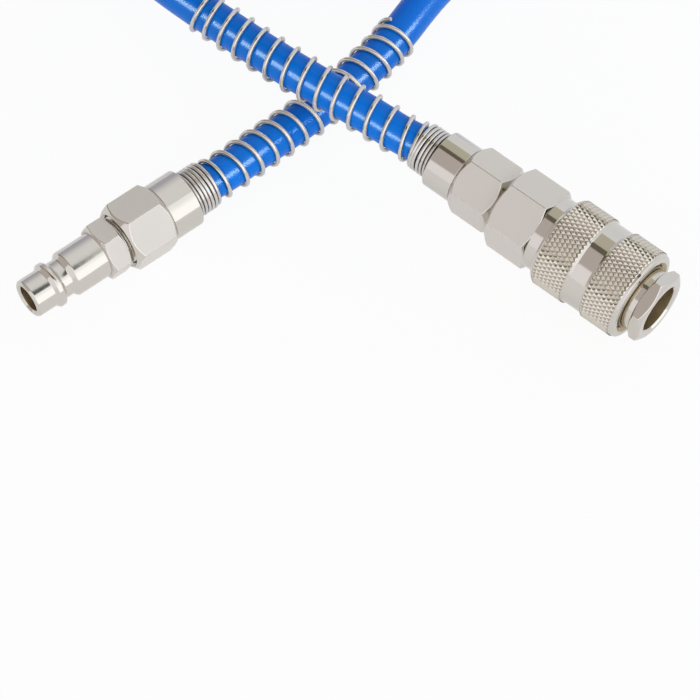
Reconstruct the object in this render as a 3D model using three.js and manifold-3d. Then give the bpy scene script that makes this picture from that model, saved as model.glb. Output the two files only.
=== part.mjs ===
// A coiled (recoil) air hose: a 10 x 6.5 mm polyurethane hose with a quick-coupler plug
// on one end and a one-hand quick coupler on the other. Millimetres, +Z up. The two
// fittings lie on a table and their hoses cross; the spiral of hose lies behind them.
// The origin is on the table, under the middle of the two fittings and their springs.

import * as THREE from 'three';
import { mergeVertices } from 'three/addons/utils/BufferGeometryUtils.js';
import Module from 'manifold-3d';

const wasm = await Module();
wasm.setup();

// ---------------------------------------------------------------- driving dimensions

const CLEAR = 0.3; // running gap between pieces that touch or slide
const ROUND = 32; // facets round a turned piece

// hose
const HOSE_OD = 10;
const HOSE_ID = 6.5;
const HOSE_SIDES = 12;
const HOSE_STEP = 22; // length of one straight facet of the laid hose

// spiral of hose
const COIL_MEAN = 100; // diameter at the middle of the hose's turns
const COIL_PITCH = 10.3;
const COIL_TURNS = 14.75;
const COIL_Y = 158.5; // how far behind the origin the spiral's axis lies

// union nut and the hose stem under it, alike on both fittings
const NUT_FLATS = 16.8;
const NUT_HEX_LENGTH = 12.7;
const NUT_NECK_DIAMETER = 15.8;
const NUT_NECK_LENGTH = 8.5;
const NUT_MOUTH_CHAMFER = 1.1;
const THREAD_DIAMETER = 13.4;
const THREAD_LENGTH = 7.6;
const SPRING_SEAT_DEPTH = 5; // depth of the neck's socket for the spring
const STEM_DIAMETER = 5.2;
const STEM_BORE = 4;
const STEM_LENGTH = 11;
const BARB_DIAMETER = 5.9;
const BARB_PITCH = 2.6;
const BARB_COUNT = 3;

// bend-guard springs
const GUARD_WIRE = 1.15;
const GUARD_CLOSED_DIAMETER = 12; // at the middle of the wire
const GUARD_OPEN_DIAMETER = 12.2;
const GUARD_CLOSED_PITCH = 1.22;
const GUARD_OPEN_PITCH = 5.1;
const GUARD_END_PITCH = 3.4; // of the first open turn and the last
const GUARD_CLOSED_TURNS = 8.7;
const GUARD_OPEN_TURNS = 12.6;
const WIRE_SIDES = 5;
const WIRE_STEPS = 12; // facets in one turn of wire

// plug, measured from its nose
const NOSE_DIAMETER = 10.4;
const NOSE_LENGTH = 6;
const NOSE_CHAMFER = 0.5;
const PLUG_BORE = 7.2;
const PLUG_BORE_MOUTH = 8.3;
const COLLAR_DIAMETER = 12.3;
const COLLAR_LENGTH = 2.4;
const COLLAR_CHAMFER = 0.6;
const LOCK_GROOVE_DIAMETER = 10;
const LOCK_GROOVE_LENGTH = 3.6;
const BARREL_LENGTH = 9.8;
const PLUG_FLATS = 14;
const PLUG_HEX_LENGTH = 5.7;
const PLUG_NUT_GAP = 0.9;

// coupler, measured from its mouth
const FLANGE_LENGTH = 3.6;
const FLANGE_FLATS = 17.3;
const MOUTH_BORE = 12.7;
const MOUTH_CHAMFER = 0.5;
const MOUTH_DEPTH = 14.8;
const TUBE_DIAMETER = 16.8;
const TUBE_SHOULDER = 0.5; // how far the rear thread lies below the tube
const TUBE_SHOULDER_AT = 25.6;
const TUBE_LENGTH = 32.8;
const NOSE_GUIDE_BORE = 11;
const SEAL_GROOVE_AT = 15.9;
const SEAL_GROOVE_LENGTH = 2.5;
const SEAL_CORD = 1.9;
const SEAL_INNER_DIAMETER = 10.1;
const VALVE_CHAMBER_AT = 19.8;
const VALVE_CHAMBER_BORE = 13.6;

const SLEEVE_WALL = 3.75; // from the tube's running gap to the knurl
const SLEEVE_GAP = 2; // between the flange and the sleeve at rest
const SLEEVE_NOSE_STEP = 0.95; // how far the rounded nose lies below the knurl
const SLEEVE_NOSE_LENGTH = 1;
const SLEEVE_MOUTH_STEP = 0.8; // of the counterbore that hides the stop ring, above the lip
const SLEEVE_MOUTH_DEPTH = 1.3;
const SLEEVE_MOUTH_CHAMFER = 0.8;
const FRONT_KNURL_LENGTH = 9.3;
const GRIP_BAND_STEP = 0.6; // how far the smooth band lies below the knurls
const GRIP_BAND_LENGTH = 5.6;
const GRIP_BAND_CHAMFER = 0.5;
const REAR_KNURL_LENGTH = 10.4;
const SLEEVE_REAR_CHAMFER = 1;
const SLEEVE_LIP_LENGTH = 1;
const SLEEVE_RECESS_DEPTH = 1.1; // of the release recess, below the lock land
const LOCK_LAND_END = 15.4;
const SLEEVE_TRAVEL = 2.5;

const BALL_LAND_CLEAR = 0.1; // between a locked ball and the sleeve's land
const BALL_COUNT = 4;
const BALL_AT = 12.1;
const BALL_STANDS_IN = 1.05; // how far a locked ball stands into the mouth's bore
const BALL_TRAVEL = 1.1;
const BALL_HOLE_CLEAR = 0.1;

const STOP_RING_WIRE = 0.9;
const STOP_RING_GROOVE = 0.3;

const SLEEVE_SPRING_WIRE = 1;
const SLEEVE_SPRING_COILS = 6;
const VALVE_SPRING_WIRE = 0.9;
const VALVE_SPRING_COILS = 6;
const VALVE_SPRING_DIAMETER = 8.6;

const POPPET_CROWN_DIAMETER = 9.4;
const POPPET_CROWN_BORE = 7.2;
const POPPET_CROWN_AT = 17.7;
const POPPET_HEAD_DIAMETER = 13;
const POPPET_HEAD_LENGTH = 1.5;
const POPPET_SKIRT_BORE = 10.6;
const POPPET_SKIRT_LENGTH = 4.8;
const POPPET_SLOT = 1.8;
const VALVE_SEAL_THICKNESS = 0.7;

const BAND_STEP = 1.8; // how far the rear body's band stands above the tube
const BAND_LENGTH = 3; // left bare behind the sleeve, for its travel
const BODY_FLATS = 20;
const BODY_HEX_LENGTH = 12.9;
const BODY_BORE = 6.4;

// where each fitting lies: the middle of its open end, the heading of its axis from
// that end towards the hose, the rise of the axis, and the roll of its hexagons
const PLUG_AT = new THREE.Vector3(-80.2, -38.3, 8.1);
const PLUG_HEADING = 38.7;
const PLUG_RISE = 2;
const PLUG_HEX_ROLL = 54.8;
const PLUG_NUT_ROLL = 49.7;
const PLUG_GUARD_START = 0;
const COUPLER_AT = new THREE.Vector3(77.2, -44.2, 11.9);
const COUPLER_HEADING = 141;
const COUPLER_RISE = 4.5;
const FLANGE_ROLL = 27.5;
const BODY_HEX_ROLL = 21.8;
const COUPLER_NUT_ROLL = 21.2;
const COUPLER_GUARD_START = 220;

// the hose from each fitting to the spiral, as it lies
const PLUG_HOSE = [
  [-31.3, 0.9, 9.9],
  [-23.8, 8.4, 8.8],
  [-16.0, 16.4, 7.4],
  [-8.5, 23.8, 6.75],
  [-0.9, 31.9, 6.75],
  [4.6, 38.1, 6.75],
  [9.4, 44.1, 6.75],
  [14.2, 51.3, 6.75],
  [17.8, 57.5, 6.5],
  [22.4, 65.2, 5.7],
  [28.2, 73.1, 5.1],
  [37.3, 82.0, 5.1],
  [49.2, 91.3, 5.1],
  [61.2, 101.5, 5.1],
  [70.1, 112.5, 5.1],
  [75.0, 125.5, 5.1],
];
const COUPLER_HOSE = [
  [13.4, 6.2, 18.5],
  [7.6, 10.1, 19.4],
  [-0.9, 15.8, 20.4],
  [-9.7, 22.2, 20.65],
  [-17.0, 28.4, 20.0],
  [-25.6, 37.0, 18.2],
  [-34.3, 46.3, 16.0],
  [-42.6, 55.1, 14.0],
  [-51.1, 64.5, 12.6],
  [-59.7, 75.0, 13.3],
  [-67.3, 87.5, 18.6],
  [-72.4, 98.0, 28.0],
  [-74.6, 103.1, 36.0],
];

// ---------------------------------------------------------------- what follows from them

const NUT_LENGTH = NUT_HEX_LENGTH + NUT_NECK_LENGTH;
const PLUG_HEX_AT = NOSE_LENGTH + COLLAR_LENGTH + LOCK_GROOVE_LENGTH + BARREL_LENGTH;
const PLUG_THREAD_AT = PLUG_HEX_AT + PLUG_HEX_LENGTH;
const PLUG_NUT_AT = PLUG_THREAD_AT + PLUG_NUT_GAP;
const TUBE_THREAD_DIAMETER = TUBE_DIAMETER - 2 * TUBE_SHOULDER;
const LAND_DIAMETER = TUBE_DIAMETER + 2 * CLEAR;
const BAND_DIAMETER = TUBE_DIAMETER + 2 * BAND_STEP;
const SLEEVE_RECESS_DIAMETER = LAND_DIAMETER + 2 * SLEEVE_RECESS_DEPTH;
const SLEEVE_DIAMETER = LAND_DIAMETER + 2 * SLEEVE_WALL;
const SLEEVE_NOSE_DIAMETER = SLEEVE_DIAMETER - 2 * SLEEVE_NOSE_STEP;
const GRIP_BAND_DIAMETER = SLEEVE_DIAMETER - 2 * GRIP_BAND_STEP;
const BALL_REACH = MOUTH_BORE / 2 - BALL_STANDS_IN; // from the axis to a locked ball
const BALL_DIAMETER = LAND_DIAMETER / 2 - BALL_LAND_CLEAR - BALL_REACH;
const SLEEVE_AT = FLANGE_LENGTH + SLEEVE_GAP;
const LIP_AT = SLEEVE_AT + SLEEVE_MOUTH_DEPTH;
const STOP_RING_AT = LIP_AT - CLEAR - STOP_RING_WIRE;
const SLEEVE_END =
  SLEEVE_AT + SLEEVE_NOSE_LENGTH + FRONT_KNURL_LENGTH + GRIP_BAND_LENGTH + REAR_KNURL_LENGTH;
const BODY_AT = TUBE_SHOULDER_AT + CLEAR;
const BODY_HEX_AT = SLEEVE_END + BAND_LENGTH;
const BODY_HEX_END = BODY_HEX_AT + BODY_HEX_LENGTH;
const COUPLER_NUT_AT = BODY_HEX_END + CLEAR;
const BALL_RISE = BALL_TRAVEL / SLEEVE_TRAVEL; // how far a ball moves out as the sleeve moves 1
const hexCorner = (flats) => flats / Math.sqrt(3);
const degrees = (angle) => THREE.MathUtils.degToRad(angle);

// ---------------------------------------------------------------- finishes

const nickel = () => new THREE.MeshStandardMaterial({ color: 0xcbc5c0, roughness: 0.32, metalness: 0.9 });
const springSteel = () => new THREE.MeshStandardMaterial({ color: 0xc4c2bf, roughness: 0.25, metalness: 1 });
const ballSteel = () => new THREE.MeshStandardMaterial({ color: 0xb9bbbe, roughness: 0.12, metalness: 1 });
const brass = () => new THREE.MeshStandardMaterial({ color: 0xb8a26a, roughness: 0.35, metalness: 0.9 });
const nitrile = () => new THREE.MeshStandardMaterial({ color: 0x1b1b1c, roughness: 0.7, metalness: 0 });
const polyurethane = () => new THREE.MeshStandardMaterial({ color: 0x0a66d0, roughness: 0.25, metalness: 0 });

// ---------------------------------------------------------------- shaping tools

// One closed skin: shared corners merged and slivers without area left out.
function skin(geometry) {
  const bare = geometry.index ? geometry.toNonIndexed() : geometry.clone();
  bare.deleteAttribute('normal');
  bare.deleteAttribute('uv');
  const merged = mergeVertices(bare, 1e-5);
  const corners = [];
  for (let i = 0; i < merged.index.count; i += 3) {
    const [a, b, c] = [0, 1, 2].map((k) => merged.index.getX(i + k));
    if (a !== b && b !== c && a !== c) corners.push(a, b, c);
  }
  merged.setIndex(corners);
  return merged;
}

function solid(geometry) {
  const closed = skin(geometry);
  return new wasm.Manifold(
    new wasm.Mesh({
      numProp: 3,
      vertProperties: new Float32Array(closed.attributes.position.array),
      triVerts: new Uint32Array(closed.index.array),
    }),
  );
}

function surface(body) {
  const mesh = body.getMesh();
  const geometry = new THREE.BufferGeometry();
  geometry.setAttribute('position', new THREE.BufferAttribute(mesh.vertProperties, 3));
  geometry.setIndex(new THREE.BufferAttribute(mesh.triVerts, 1));
  return geometry;
}

// A turned body about the X axis; the profile is a list of [station, radius].
function turned(profile, facets = ROUND) {
  const outline = profile.map(([station, radius]) => new THREE.Vector2(radius, station));
  return new THREE.LatheGeometry(outline, facets).rotateZ(-Math.PI / 2);
}

const cylinder = (from, to, diameter, facets = ROUND) =>
  turned([[from, 0], [from, diameter / 2], [to, diameter / 2], [to, 0]], facets);

// A hexagonal bar about the X axis; a corner points along roll, from Y towards Z.
function hexBar(from, to, flats, roll) {
  const shape = new THREE.Shape();
  for (let i = 0; i < 6; i += 1) {
    const angle = degrees(roll + 60 * i);
    const x = -hexCorner(flats) * Math.sin(angle);
    const y = hexCorner(flats) * Math.cos(angle);
    if (i === 0) shape.moveTo(x, y);
    else shape.lineTo(x, y);
  }
  shape.closePath();
  const bar = new THREE.ExtrudeGeometry(shape, { depth: to - from, bevelEnabled: false });
  return bar.rotateY(Math.PI / 2).translate(from, 0, 0);
}

// A hexagon with its corners turned down to a 30 degree cone at each end.
function chamferedHex(from, to, flats, roll, slope = 30) {
  const low = (flats / 2) * 0.97;
  const high = hexCorner(flats) + 0.1;
  const depth = (high - low) * Math.tan(degrees(slope));
  const cones = turned([
    [from, 0],
    [from, low],
    [from + depth, high],
    [to - depth, high],
    [to, low],
    [to, 0],
  ]);
  return solid(hexBar(from, to, flats, roll)).intersect(solid(cones));
}

// A round wire along a line of points.
function wire(points, diameter, sides = WIRE_SIDES) {
  const path = new THREE.CatmullRomCurve3(points, false, 'centripetal');
  path.arcLengthDivisions = points.length * 8;
  const section = new THREE.Shape();
  for (let i = 0; i < sides; i += 1) {
    const angle = (2 * Math.PI * i) / sides;
    const [x, y] = [(diameter / 2) * Math.cos(angle), (diameter / 2) * Math.sin(angle)];
    if (i === 0) section.moveTo(x, y);
    else section.lineTo(x, y);
  }
  section.closePath();
  return new THREE.ExtrudeGeometry(section, { steps: points.length - 1, extrudePath: path });
}

// How far along its axis a spring has come after some turns of wire, where stretches
// is a list of [turns, pitch].
function advance(stretches, turns) {
  let left = turns;
  let along = 0;
  for (const [count, pitch] of stretches) {
    const used = Math.min(left, count);
    along += used * pitch;
    left -= used;
  }
  return along;
}

const totalTurns = (stretches) => stretches.reduce((sum, [count]) => sum + count, 0);

// A compression spring on the X axis, with one closed turn at each end.
function compressionSpring(from, to, mean, wireDiameter, coils) {
  const closed = wireDiameter + 0.08;
  const open = (to - from - wireDiameter - 2 * closed) / (coils - 2);
  const stretches = [[1, closed], [coils - 2, open], [1, closed]];
  const points = [];
  for (let i = 0; i <= coils * WIRE_STEPS; i += 1) {
    const turns = i / WIRE_STEPS;
    const angle = 2 * Math.PI * turns;
    const x = from + wireDiameter / 2 + advance(stretches, turns);
    points.push(new THREE.Vector3(x, (mean / 2) * Math.cos(angle), (mean / 2) * Math.sin(angle)));
  }
  return wire(points, wireDiameter);
}

// ---------------------------------------------------------------- union nut and hose stem

// The hexagon, the neck that holds the guard spring, and the stepped bore through both.
function unionNut(at, roll) {
  const neckAt = at + NUT_HEX_LENGTH;
  const end = at + NUT_LENGTH;
  const seatAt = end - SPRING_SEAT_DEPTH;
  const bore = (THREAD_DIAMETER + 2 * CLEAR) / 2;
  const grip = HOSE_OD / 2 + CLEAR;
  const socket = (GUARD_CLOSED_DIAMETER + GUARD_WIRE) / 2 + CLEAR;
  const threadEnd = at + THREAD_LENGTH + CLEAR;
  const neck = turned([
    [neckAt - 1, 0],
    [neckAt - 1, NUT_NECK_DIAMETER / 2],
    [end - 0.4, NUT_NECK_DIAMETER / 2],
    [end, NUT_NECK_DIAMETER / 2 - 0.4],
    [end, 0],
  ]);
  const hole = turned([
    [at - 1, 0],
    [at - 1, bore + NUT_MOUTH_CHAMFER + 1],
    [at + NUT_MOUTH_CHAMFER, bore],
    [threadEnd, bore],
    [threadEnd + (bore - grip), grip],
    [seatAt, grip],
    [seatAt, socket],
    [end + 1, socket],
    [end + 1, 0],
  ]);
  const hex = chamferedHex(at, neckAt, NUT_FLATS, roll);
  return surface(hex.add(solid(neck)).subtract(solid(hole)));
}

// The threaded boss and the barbed stem that a fitting holds out under its nut, as a
// profile from the thread's start to the stem's tip and back to the axis.
function stemOutline(threadAt) {
  const threadEnd = threadAt + THREAD_LENGTH;
  const tip = threadEnd + STEM_LENGTH;
  const outline = [
    [threadAt, THREAD_DIAMETER / 2],
    [threadEnd - 0.5, THREAD_DIAMETER / 2],
    [threadEnd, THREAD_DIAMETER / 2 - 0.5],
    [threadEnd, STEM_DIAMETER / 2],
  ];
  for (let i = 0; i < BARB_COUNT; i += 1) {
    const barb = tip - (BARB_COUNT - i) * BARB_PITCH;
    outline.push([barb, STEM_DIAMETER / 2], [barb, BARB_DIAMETER / 2]);
  }
  outline.push([tip, STEM_DIAMETER / 2 - 0.1]);
  return outline;
}

const hoseStartAfter = (threadAt) => threadAt + THREAD_LENGTH + CLEAR;

// ---------------------------------------------------------------- plug

function plugBody() {
  const collarAt = NOSE_LENGTH;
  const grooveAt = collarAt + COLLAR_LENGTH;
  const barrelAt = grooveAt + LOCK_GROOVE_LENGTH;
  const mouthDepth = (PLUG_BORE_MOUTH - PLUG_BORE) / 2;
  const outside = turned([
    [0, 0],
    [0, NOSE_DIAMETER / 2 - NOSE_CHAMFER],
    [NOSE_CHAMFER, NOSE_DIAMETER / 2],
    [collarAt - 0.3, NOSE_DIAMETER / 2],
    [collarAt + COLLAR_CHAMFER, COLLAR_DIAMETER / 2],
    [grooveAt - COLLAR_CHAMFER, COLLAR_DIAMETER / 2],
    [grooveAt, LOCK_GROOVE_DIAMETER / 2 + 0.5],
    [grooveAt + 0.4, LOCK_GROOVE_DIAMETER / 2],
    [barrelAt - 0.8, LOCK_GROOVE_DIAMETER / 2],
    [barrelAt + 0.3, COLLAR_DIAMETER / 2],
    [PLUG_HEX_AT + 1, COLLAR_DIAMETER / 2],
    [PLUG_HEX_AT + 1, 0],
  ]);
  const stem = turned([
    [PLUG_THREAD_AT - 1, 0],
    [PLUG_THREAD_AT - 1, THREAD_DIAMETER / 2],
    ...stemOutline(PLUG_THREAD_AT),
    [PLUG_THREAD_AT + THREAD_LENGTH + STEM_LENGTH, 0],
  ]);
  const bore = turned([
    [-1, 0],
    [-1, PLUG_BORE_MOUTH / 2 + 1],
    [mouthDepth, PLUG_BORE / 2],
    [PLUG_THREAD_AT, PLUG_BORE / 2],
    [PLUG_THREAD_AT + (PLUG_BORE - STEM_BORE) / 2, STEM_BORE / 2],
    [PLUG_THREAD_AT + THREAD_LENGTH + STEM_LENGTH + 1, STEM_BORE / 2],
    [PLUG_THREAD_AT + THREAD_LENGTH + STEM_LENGTH + 1, 0],
  ]);
  const hex = chamferedHex(PLUG_HEX_AT, PLUG_THREAD_AT, PLUG_FLATS, PLUG_HEX_ROLL);
  return surface(solid(outside).add(hex).add(solid(stem)).subtract(solid(bore)));
}

// ---------------------------------------------------------------- coupler

// The mouth tube: a hexagonal flange, the bore that takes the plug, a hole for each
// ball, the seal's groove and the valve's seat and chamber.
function mouthTube() {
  const radius = TUBE_DIAMETER / 2;
  const [ringFrom, ringTo] = [STOP_RING_AT - 0.15, STOP_RING_AT + STOP_RING_WIRE + 0.15];
  const outside = turned([
    [FLANGE_LENGTH - 1, 0],
    [FLANGE_LENGTH - 1, radius],
    [ringFrom, radius],
    [ringFrom, radius - STOP_RING_GROOVE],
    [ringTo, radius - STOP_RING_GROOVE],
    [ringTo, radius],
    [TUBE_SHOULDER_AT, radius],
    [TUBE_SHOULDER_AT, TUBE_THREAD_DIAMETER / 2],
    [TUBE_LENGTH, TUBE_THREAD_DIAMETER / 2],
    [TUBE_LENGTH, 0],
  ]);
  const sealGroove = SEAL_INNER_DIAMETER / 2 + SEAL_CORD + CLEAR;
  const hole = turned([
    [-1, 0],
    [-1, MOUTH_BORE / 2 + MOUTH_CHAMFER + 1],
    [MOUTH_CHAMFER, MOUTH_BORE / 2],
    [MOUTH_DEPTH, MOUTH_BORE / 2],
    [MOUTH_DEPTH + 0.6, NOSE_GUIDE_BORE / 2],
    [SEAL_GROOVE_AT, NOSE_GUIDE_BORE / 2],
    [SEAL_GROOVE_AT, sealGroove],
    [SEAL_GROOVE_AT + SEAL_GROOVE_LENGTH, sealGroove],
    [SEAL_GROOVE_AT + SEAL_GROOVE_LENGTH, NOSE_GUIDE_BORE / 2],
    [VALVE_CHAMBER_AT, NOSE_GUIDE_BORE / 2],
    [VALVE_CHAMBER_AT, VALVE_CHAMBER_BORE / 2],
    [TUBE_LENGTH + 1, VALVE_CHAMBER_BORE / 2],
    [TUBE_LENGTH + 1, 0],
  ]);
  const flange = chamferedHex(0, FLANGE_LENGTH, FLANGE_FLATS, FLANGE_ROLL);
  let tube = flange.add(solid(outside)).subtract(solid(hole));
  for (let i = 0; i < BALL_COUNT; i += 1) tube = tube.subtract(solid(ballHole(i)));
  return surface(tube);
}

const ballAngle = (i) => degrees(45 + (360 * i) / BALL_COUNT);

function ballHole(i) {
  const diameter = BALL_DIAMETER + 2 * BALL_HOLE_CLEAR;
  const pin = new THREE.CylinderGeometry(diameter / 2, diameter / 2, TUBE_DIAMETER, 16);
  return pin.translate(0, TUBE_DIAMETER / 2 + 4, 0).rotateX(ballAngle(i)).translate(BALL_AT, 0, 0);
}

function lockBall(i) {
  const ball = new THREE.SphereGeometry(BALL_DIAMETER / 2, 12, 8);
  const out = BALL_REACH + BALL_DIAMETER / 2;
  return skin(ball.translate(0, out, 0).rotateX(ballAngle(i)).translate(BALL_AT, 0, 0));
}

// The inside of the sleeve rides the balls: a cone beside the path that a ball takes
// as the sleeve is drawn back joins the lock land to the release recess.
function lockingSleeve() {
  const land = LAND_DIAMETER / 2;
  const recess = SLEEVE_RECESS_DIAMETER / 2;
  const chamber = BAND_DIAMETER / 2 + CLEAR;
  const run = Math.hypot(1, BALL_RISE);
  const offset = BALL_DIAMETER / 2 + BALL_HOLE_CLEAR;
  const coneAt = BALL_AT + (offset * BALL_RISE) / run;
  const coneRadius = BALL_REACH + BALL_DIAMETER / 2 + offset / run;
  const landStart = coneAt - (land - coneRadius) / BALL_RISE;
  const recessEnd = coneAt - (recess - coneRadius) / BALL_RISE;
  const knurlAt = SLEEVE_AT + SLEEVE_NOSE_LENGTH;
  const bandAt = knurlAt + FRONT_KNURL_LENGTH;
  const rearAt = bandAt + GRIP_BAND_LENGTH;
  const [grip, band] = [SLEEVE_DIAMETER / 2, GRIP_BAND_DIAMETER / 2];
  const mouth = land + SLEEVE_MOUTH_STEP;
  const nose = SLEEVE_NOSE_DIAMETER / 2;
  return turned([
    [SLEEVE_AT, mouth + SLEEVE_MOUTH_CHAMFER],
    [SLEEVE_AT, nose],
    [SLEEVE_AT + 0.3 * SLEEVE_NOSE_LENGTH, nose + 0.6 * SLEEVE_NOSE_STEP],
    [knurlAt, grip],
    [bandAt, grip],
    [bandAt + GRIP_BAND_CHAMFER, band],
    [rearAt - GRIP_BAND_CHAMFER, band],
    [rearAt, grip],
    [SLEEVE_END - SLEEVE_REAR_CHAMFER, grip],
    [SLEEVE_END, grip - SLEEVE_REAR_CHAMFER],
    [SLEEVE_END, chamber],
    [LOCK_LAND_END, chamber],
    [LOCK_LAND_END, land],
    [landStart, land],
    [recessEnd, recess],
    [LIP_AT + SLEEVE_LIP_LENGTH, recess],
    [LIP_AT + SLEEVE_LIP_LENGTH, land],
    [LIP_AT, land],
    [LIP_AT, mouth],
    [SLEEVE_AT + SLEEVE_MOUTH_CHAMFER, mouth],
    [SLEEVE_AT, mouth + SLEEVE_MOUTH_CHAMFER],
  ]);
}

// A ring of wire about the X axis with its own gap, sprung into the tube's groove.
function stopRing() {
  const middle = TUBE_DIAMETER / 2 - STOP_RING_GROOVE + 0.1 + STOP_RING_WIRE / 2;
  const x = STOP_RING_AT + STOP_RING_WIRE / 2;
  const points = [];
  const steps = 2 * WIRE_STEPS;
  for (let i = 0; i <= steps; i += 1) {
    const angle = degrees(-100 + (340 * i) / steps);
    points.push(new THREE.Vector3(x, middle * Math.cos(angle), middle * Math.sin(angle)));
  }
  return wire(points, STOP_RING_WIRE);
}

function plugSeal() {
  const middle = SEAL_INNER_DIAMETER / 2 + SEAL_CORD / 2;
  const ring = new THREE.TorusGeometry(middle, SEAL_CORD / 2, 8, 32);
  return ring.rotateY(Math.PI / 2).translate(SEAL_GROOVE_AT + SEAL_GROOVE_LENGTH / 2, 0, 0);
}

const poppetHeadAt = VALVE_CHAMBER_AT + VALVE_SEAL_THICKNESS + 2 * 0.12;

// The poppet's crown reaches through the seat for the plug's nose to press; slots in
// it let the air past, and its skirt slides in the chamber.
function valvePoppet() {
  const headEnd = poppetHeadAt + POPPET_HEAD_LENGTH;
  const outside = turned([
    [POPPET_CROWN_AT, POPPET_CROWN_BORE / 2],
    [POPPET_CROWN_AT, POPPET_CROWN_DIAMETER / 2],
    [poppetHeadAt, POPPET_CROWN_DIAMETER / 2],
    [poppetHeadAt, POPPET_HEAD_DIAMETER / 2],
    [headEnd + POPPET_SKIRT_LENGTH, POPPET_HEAD_DIAMETER / 2],
    [headEnd + POPPET_SKIRT_LENGTH, POPPET_SKIRT_BORE / 2],
    [headEnd, POPPET_SKIRT_BORE / 2],
    [headEnd, 0],
    [poppetHeadAt - 0.6, 0],
    [poppetHeadAt - 0.6, POPPET_CROWN_BORE / 2],
    [POPPET_CROWN_AT, POPPET_CROWN_BORE / 2],
  ]);
  const slotLength = poppetHeadAt - 0.6 - POPPET_CROWN_AT;
  let poppet = solid(outside);
  for (let i = 0; i < 2; i += 1) {
    const slot = new THREE.BoxGeometry(slotLength + 0.4, POPPET_SLOT, POPPET_CROWN_DIAMETER + 2);
    slot.translate(POPPET_CROWN_AT + slotLength / 2 - 0.2, 0, 0).rotateX((Math.PI / 2) * i);
    poppet = poppet.subtract(solid(slot));
  }
  return surface(poppet);
}

// The flat ring on the poppet's shoulder that closes against the seat.
function valveSeal() {
  const inner = POPPET_CROWN_DIAMETER / 2 + 0.12;
  const outer = POPPET_HEAD_DIAMETER / 2 - 0.2;
  const from = VALVE_CHAMBER_AT + 0.12;
  const to = from + VALVE_SEAL_THICKNESS;
  return turned([[from, inner], [from, outer], [to, outer], [to, inner], [from, inner]]);
}

// The rear body: a band that guides the sleeve, the big hexagon, and the hose stem.
function couplerBody() {
  const socket = TUBE_THREAD_DIAMETER / 2 + CLEAR;
  const seatAt = TUBE_LENGTH + CLEAR;
  const outside = turned([
    [BODY_AT, 0],
    [BODY_AT, BAND_DIAMETER / 2],
    [BODY_HEX_AT + 1, BAND_DIAMETER / 2],
    [BODY_HEX_AT + 1, 0],
  ]);
  const stem = turned([
    [BODY_HEX_END - 1, 0],
    [BODY_HEX_END - 1, THREAD_DIAMETER / 2],
    ...stemOutline(BODY_HEX_END),
    [BODY_HEX_END + THREAD_LENGTH + STEM_LENGTH, 0],
  ]);
  const bore = turned([
    [BODY_AT - 1, 0],
    [BODY_AT - 1, socket],
    [seatAt, socket],
    [seatAt, BODY_BORE / 2],
    [BODY_HEX_END, BODY_BORE / 2],
    [BODY_HEX_END + (BODY_BORE - STEM_BORE) / 2, STEM_BORE / 2],
    [BODY_HEX_END + THREAD_LENGTH + STEM_LENGTH + 1, STEM_BORE / 2],
    [BODY_HEX_END + THREAD_LENGTH + STEM_LENGTH + 1, 0],
  ]);
  const hex = chamferedHex(BODY_HEX_AT, BODY_HEX_END, BODY_FLATS, BODY_HEX_ROLL);
  return surface(solid(outside).add(hex).add(solid(stem)).subtract(solid(bore)));
}

function sleeveSpring() {
  const mean = TUBE_DIAMETER + 2 * CLEAR + SLEEVE_SPRING_WIRE + 0.1;
  const [from, to] = [LOCK_LAND_END + CLEAR, BODY_AT - CLEAR];
  return compressionSpring(from, to, mean, SLEEVE_SPRING_WIRE, SLEEVE_SPRING_COILS);
}

function valveSpring() {
  const from = poppetHeadAt + POPPET_HEAD_LENGTH + CLEAR;
  const to = TUBE_LENGTH;
  return compressionSpring(from, to, VALVE_SPRING_DIAMETER, VALVE_SPRING_WIRE, VALVE_SPRING_COILS);
}

// ---------------------------------------------------------------- hose and guard springs

// The middle of a fitting's axis at a station, in the part's own frame.
function onAxis(at, heading, rise, station) {
  const [h, r] = [degrees(heading), degrees(rise)];
  const axis = new THREE.Vector3(Math.cos(h) * Math.cos(r), Math.sin(h) * Math.cos(r), Math.sin(r));
  return axis.multiplyScalar(station).add(at);
}

// The hose's middle line: straight from its end on the stem to just past the closed
// turns of the spring, then as it lies.
function hoseLine(at, heading, rise, threadAt, nutAt, laid) {
  const start = hoseStartAfter(threadAt);
  const free = nutAt + NUT_LENGTH;
  const stations = [start, (start + free) / 2, free, free + 3.2, free + 6];
  const straight = stations.map((s) => onAxis(at, heading, rise, s));
  const rest = laid.map((p) => new THREE.Vector3(...p));
  const line = new THREE.CatmullRomCurve3([...straight, ...rest], false, 'centripetal');
  line.arcLengthDivisions = 2000;
  return line;
}

function ringSection(outer, inner, sides) {
  const circle = (path, diameter) => {
    for (let i = 0; i < sides; i += 1) {
      const angle = (2 * Math.PI * i) / sides;
      const [x, y] = [(diameter / 2) * Math.cos(angle), (diameter / 2) * Math.sin(angle)];
      if (i === 0) path.moveTo(x, y);
      else path.lineTo(x, y);
    }
    path.closePath();
    return path;
  };
  const section = circle(new THREE.Shape(), outer);
  section.holes.push(circle(new THREE.Path(), inner));
  return section;
}

function hoseTail(line) {
  const steps = Math.ceil(line.getLength() / HOSE_STEP) * 2;
  const section = ringSection(HOSE_OD, HOSE_ID, HOSE_SIDES);
  return skin(new THREE.ExtrudeGeometry(section, { steps, extrudePath: line }));
}

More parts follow.
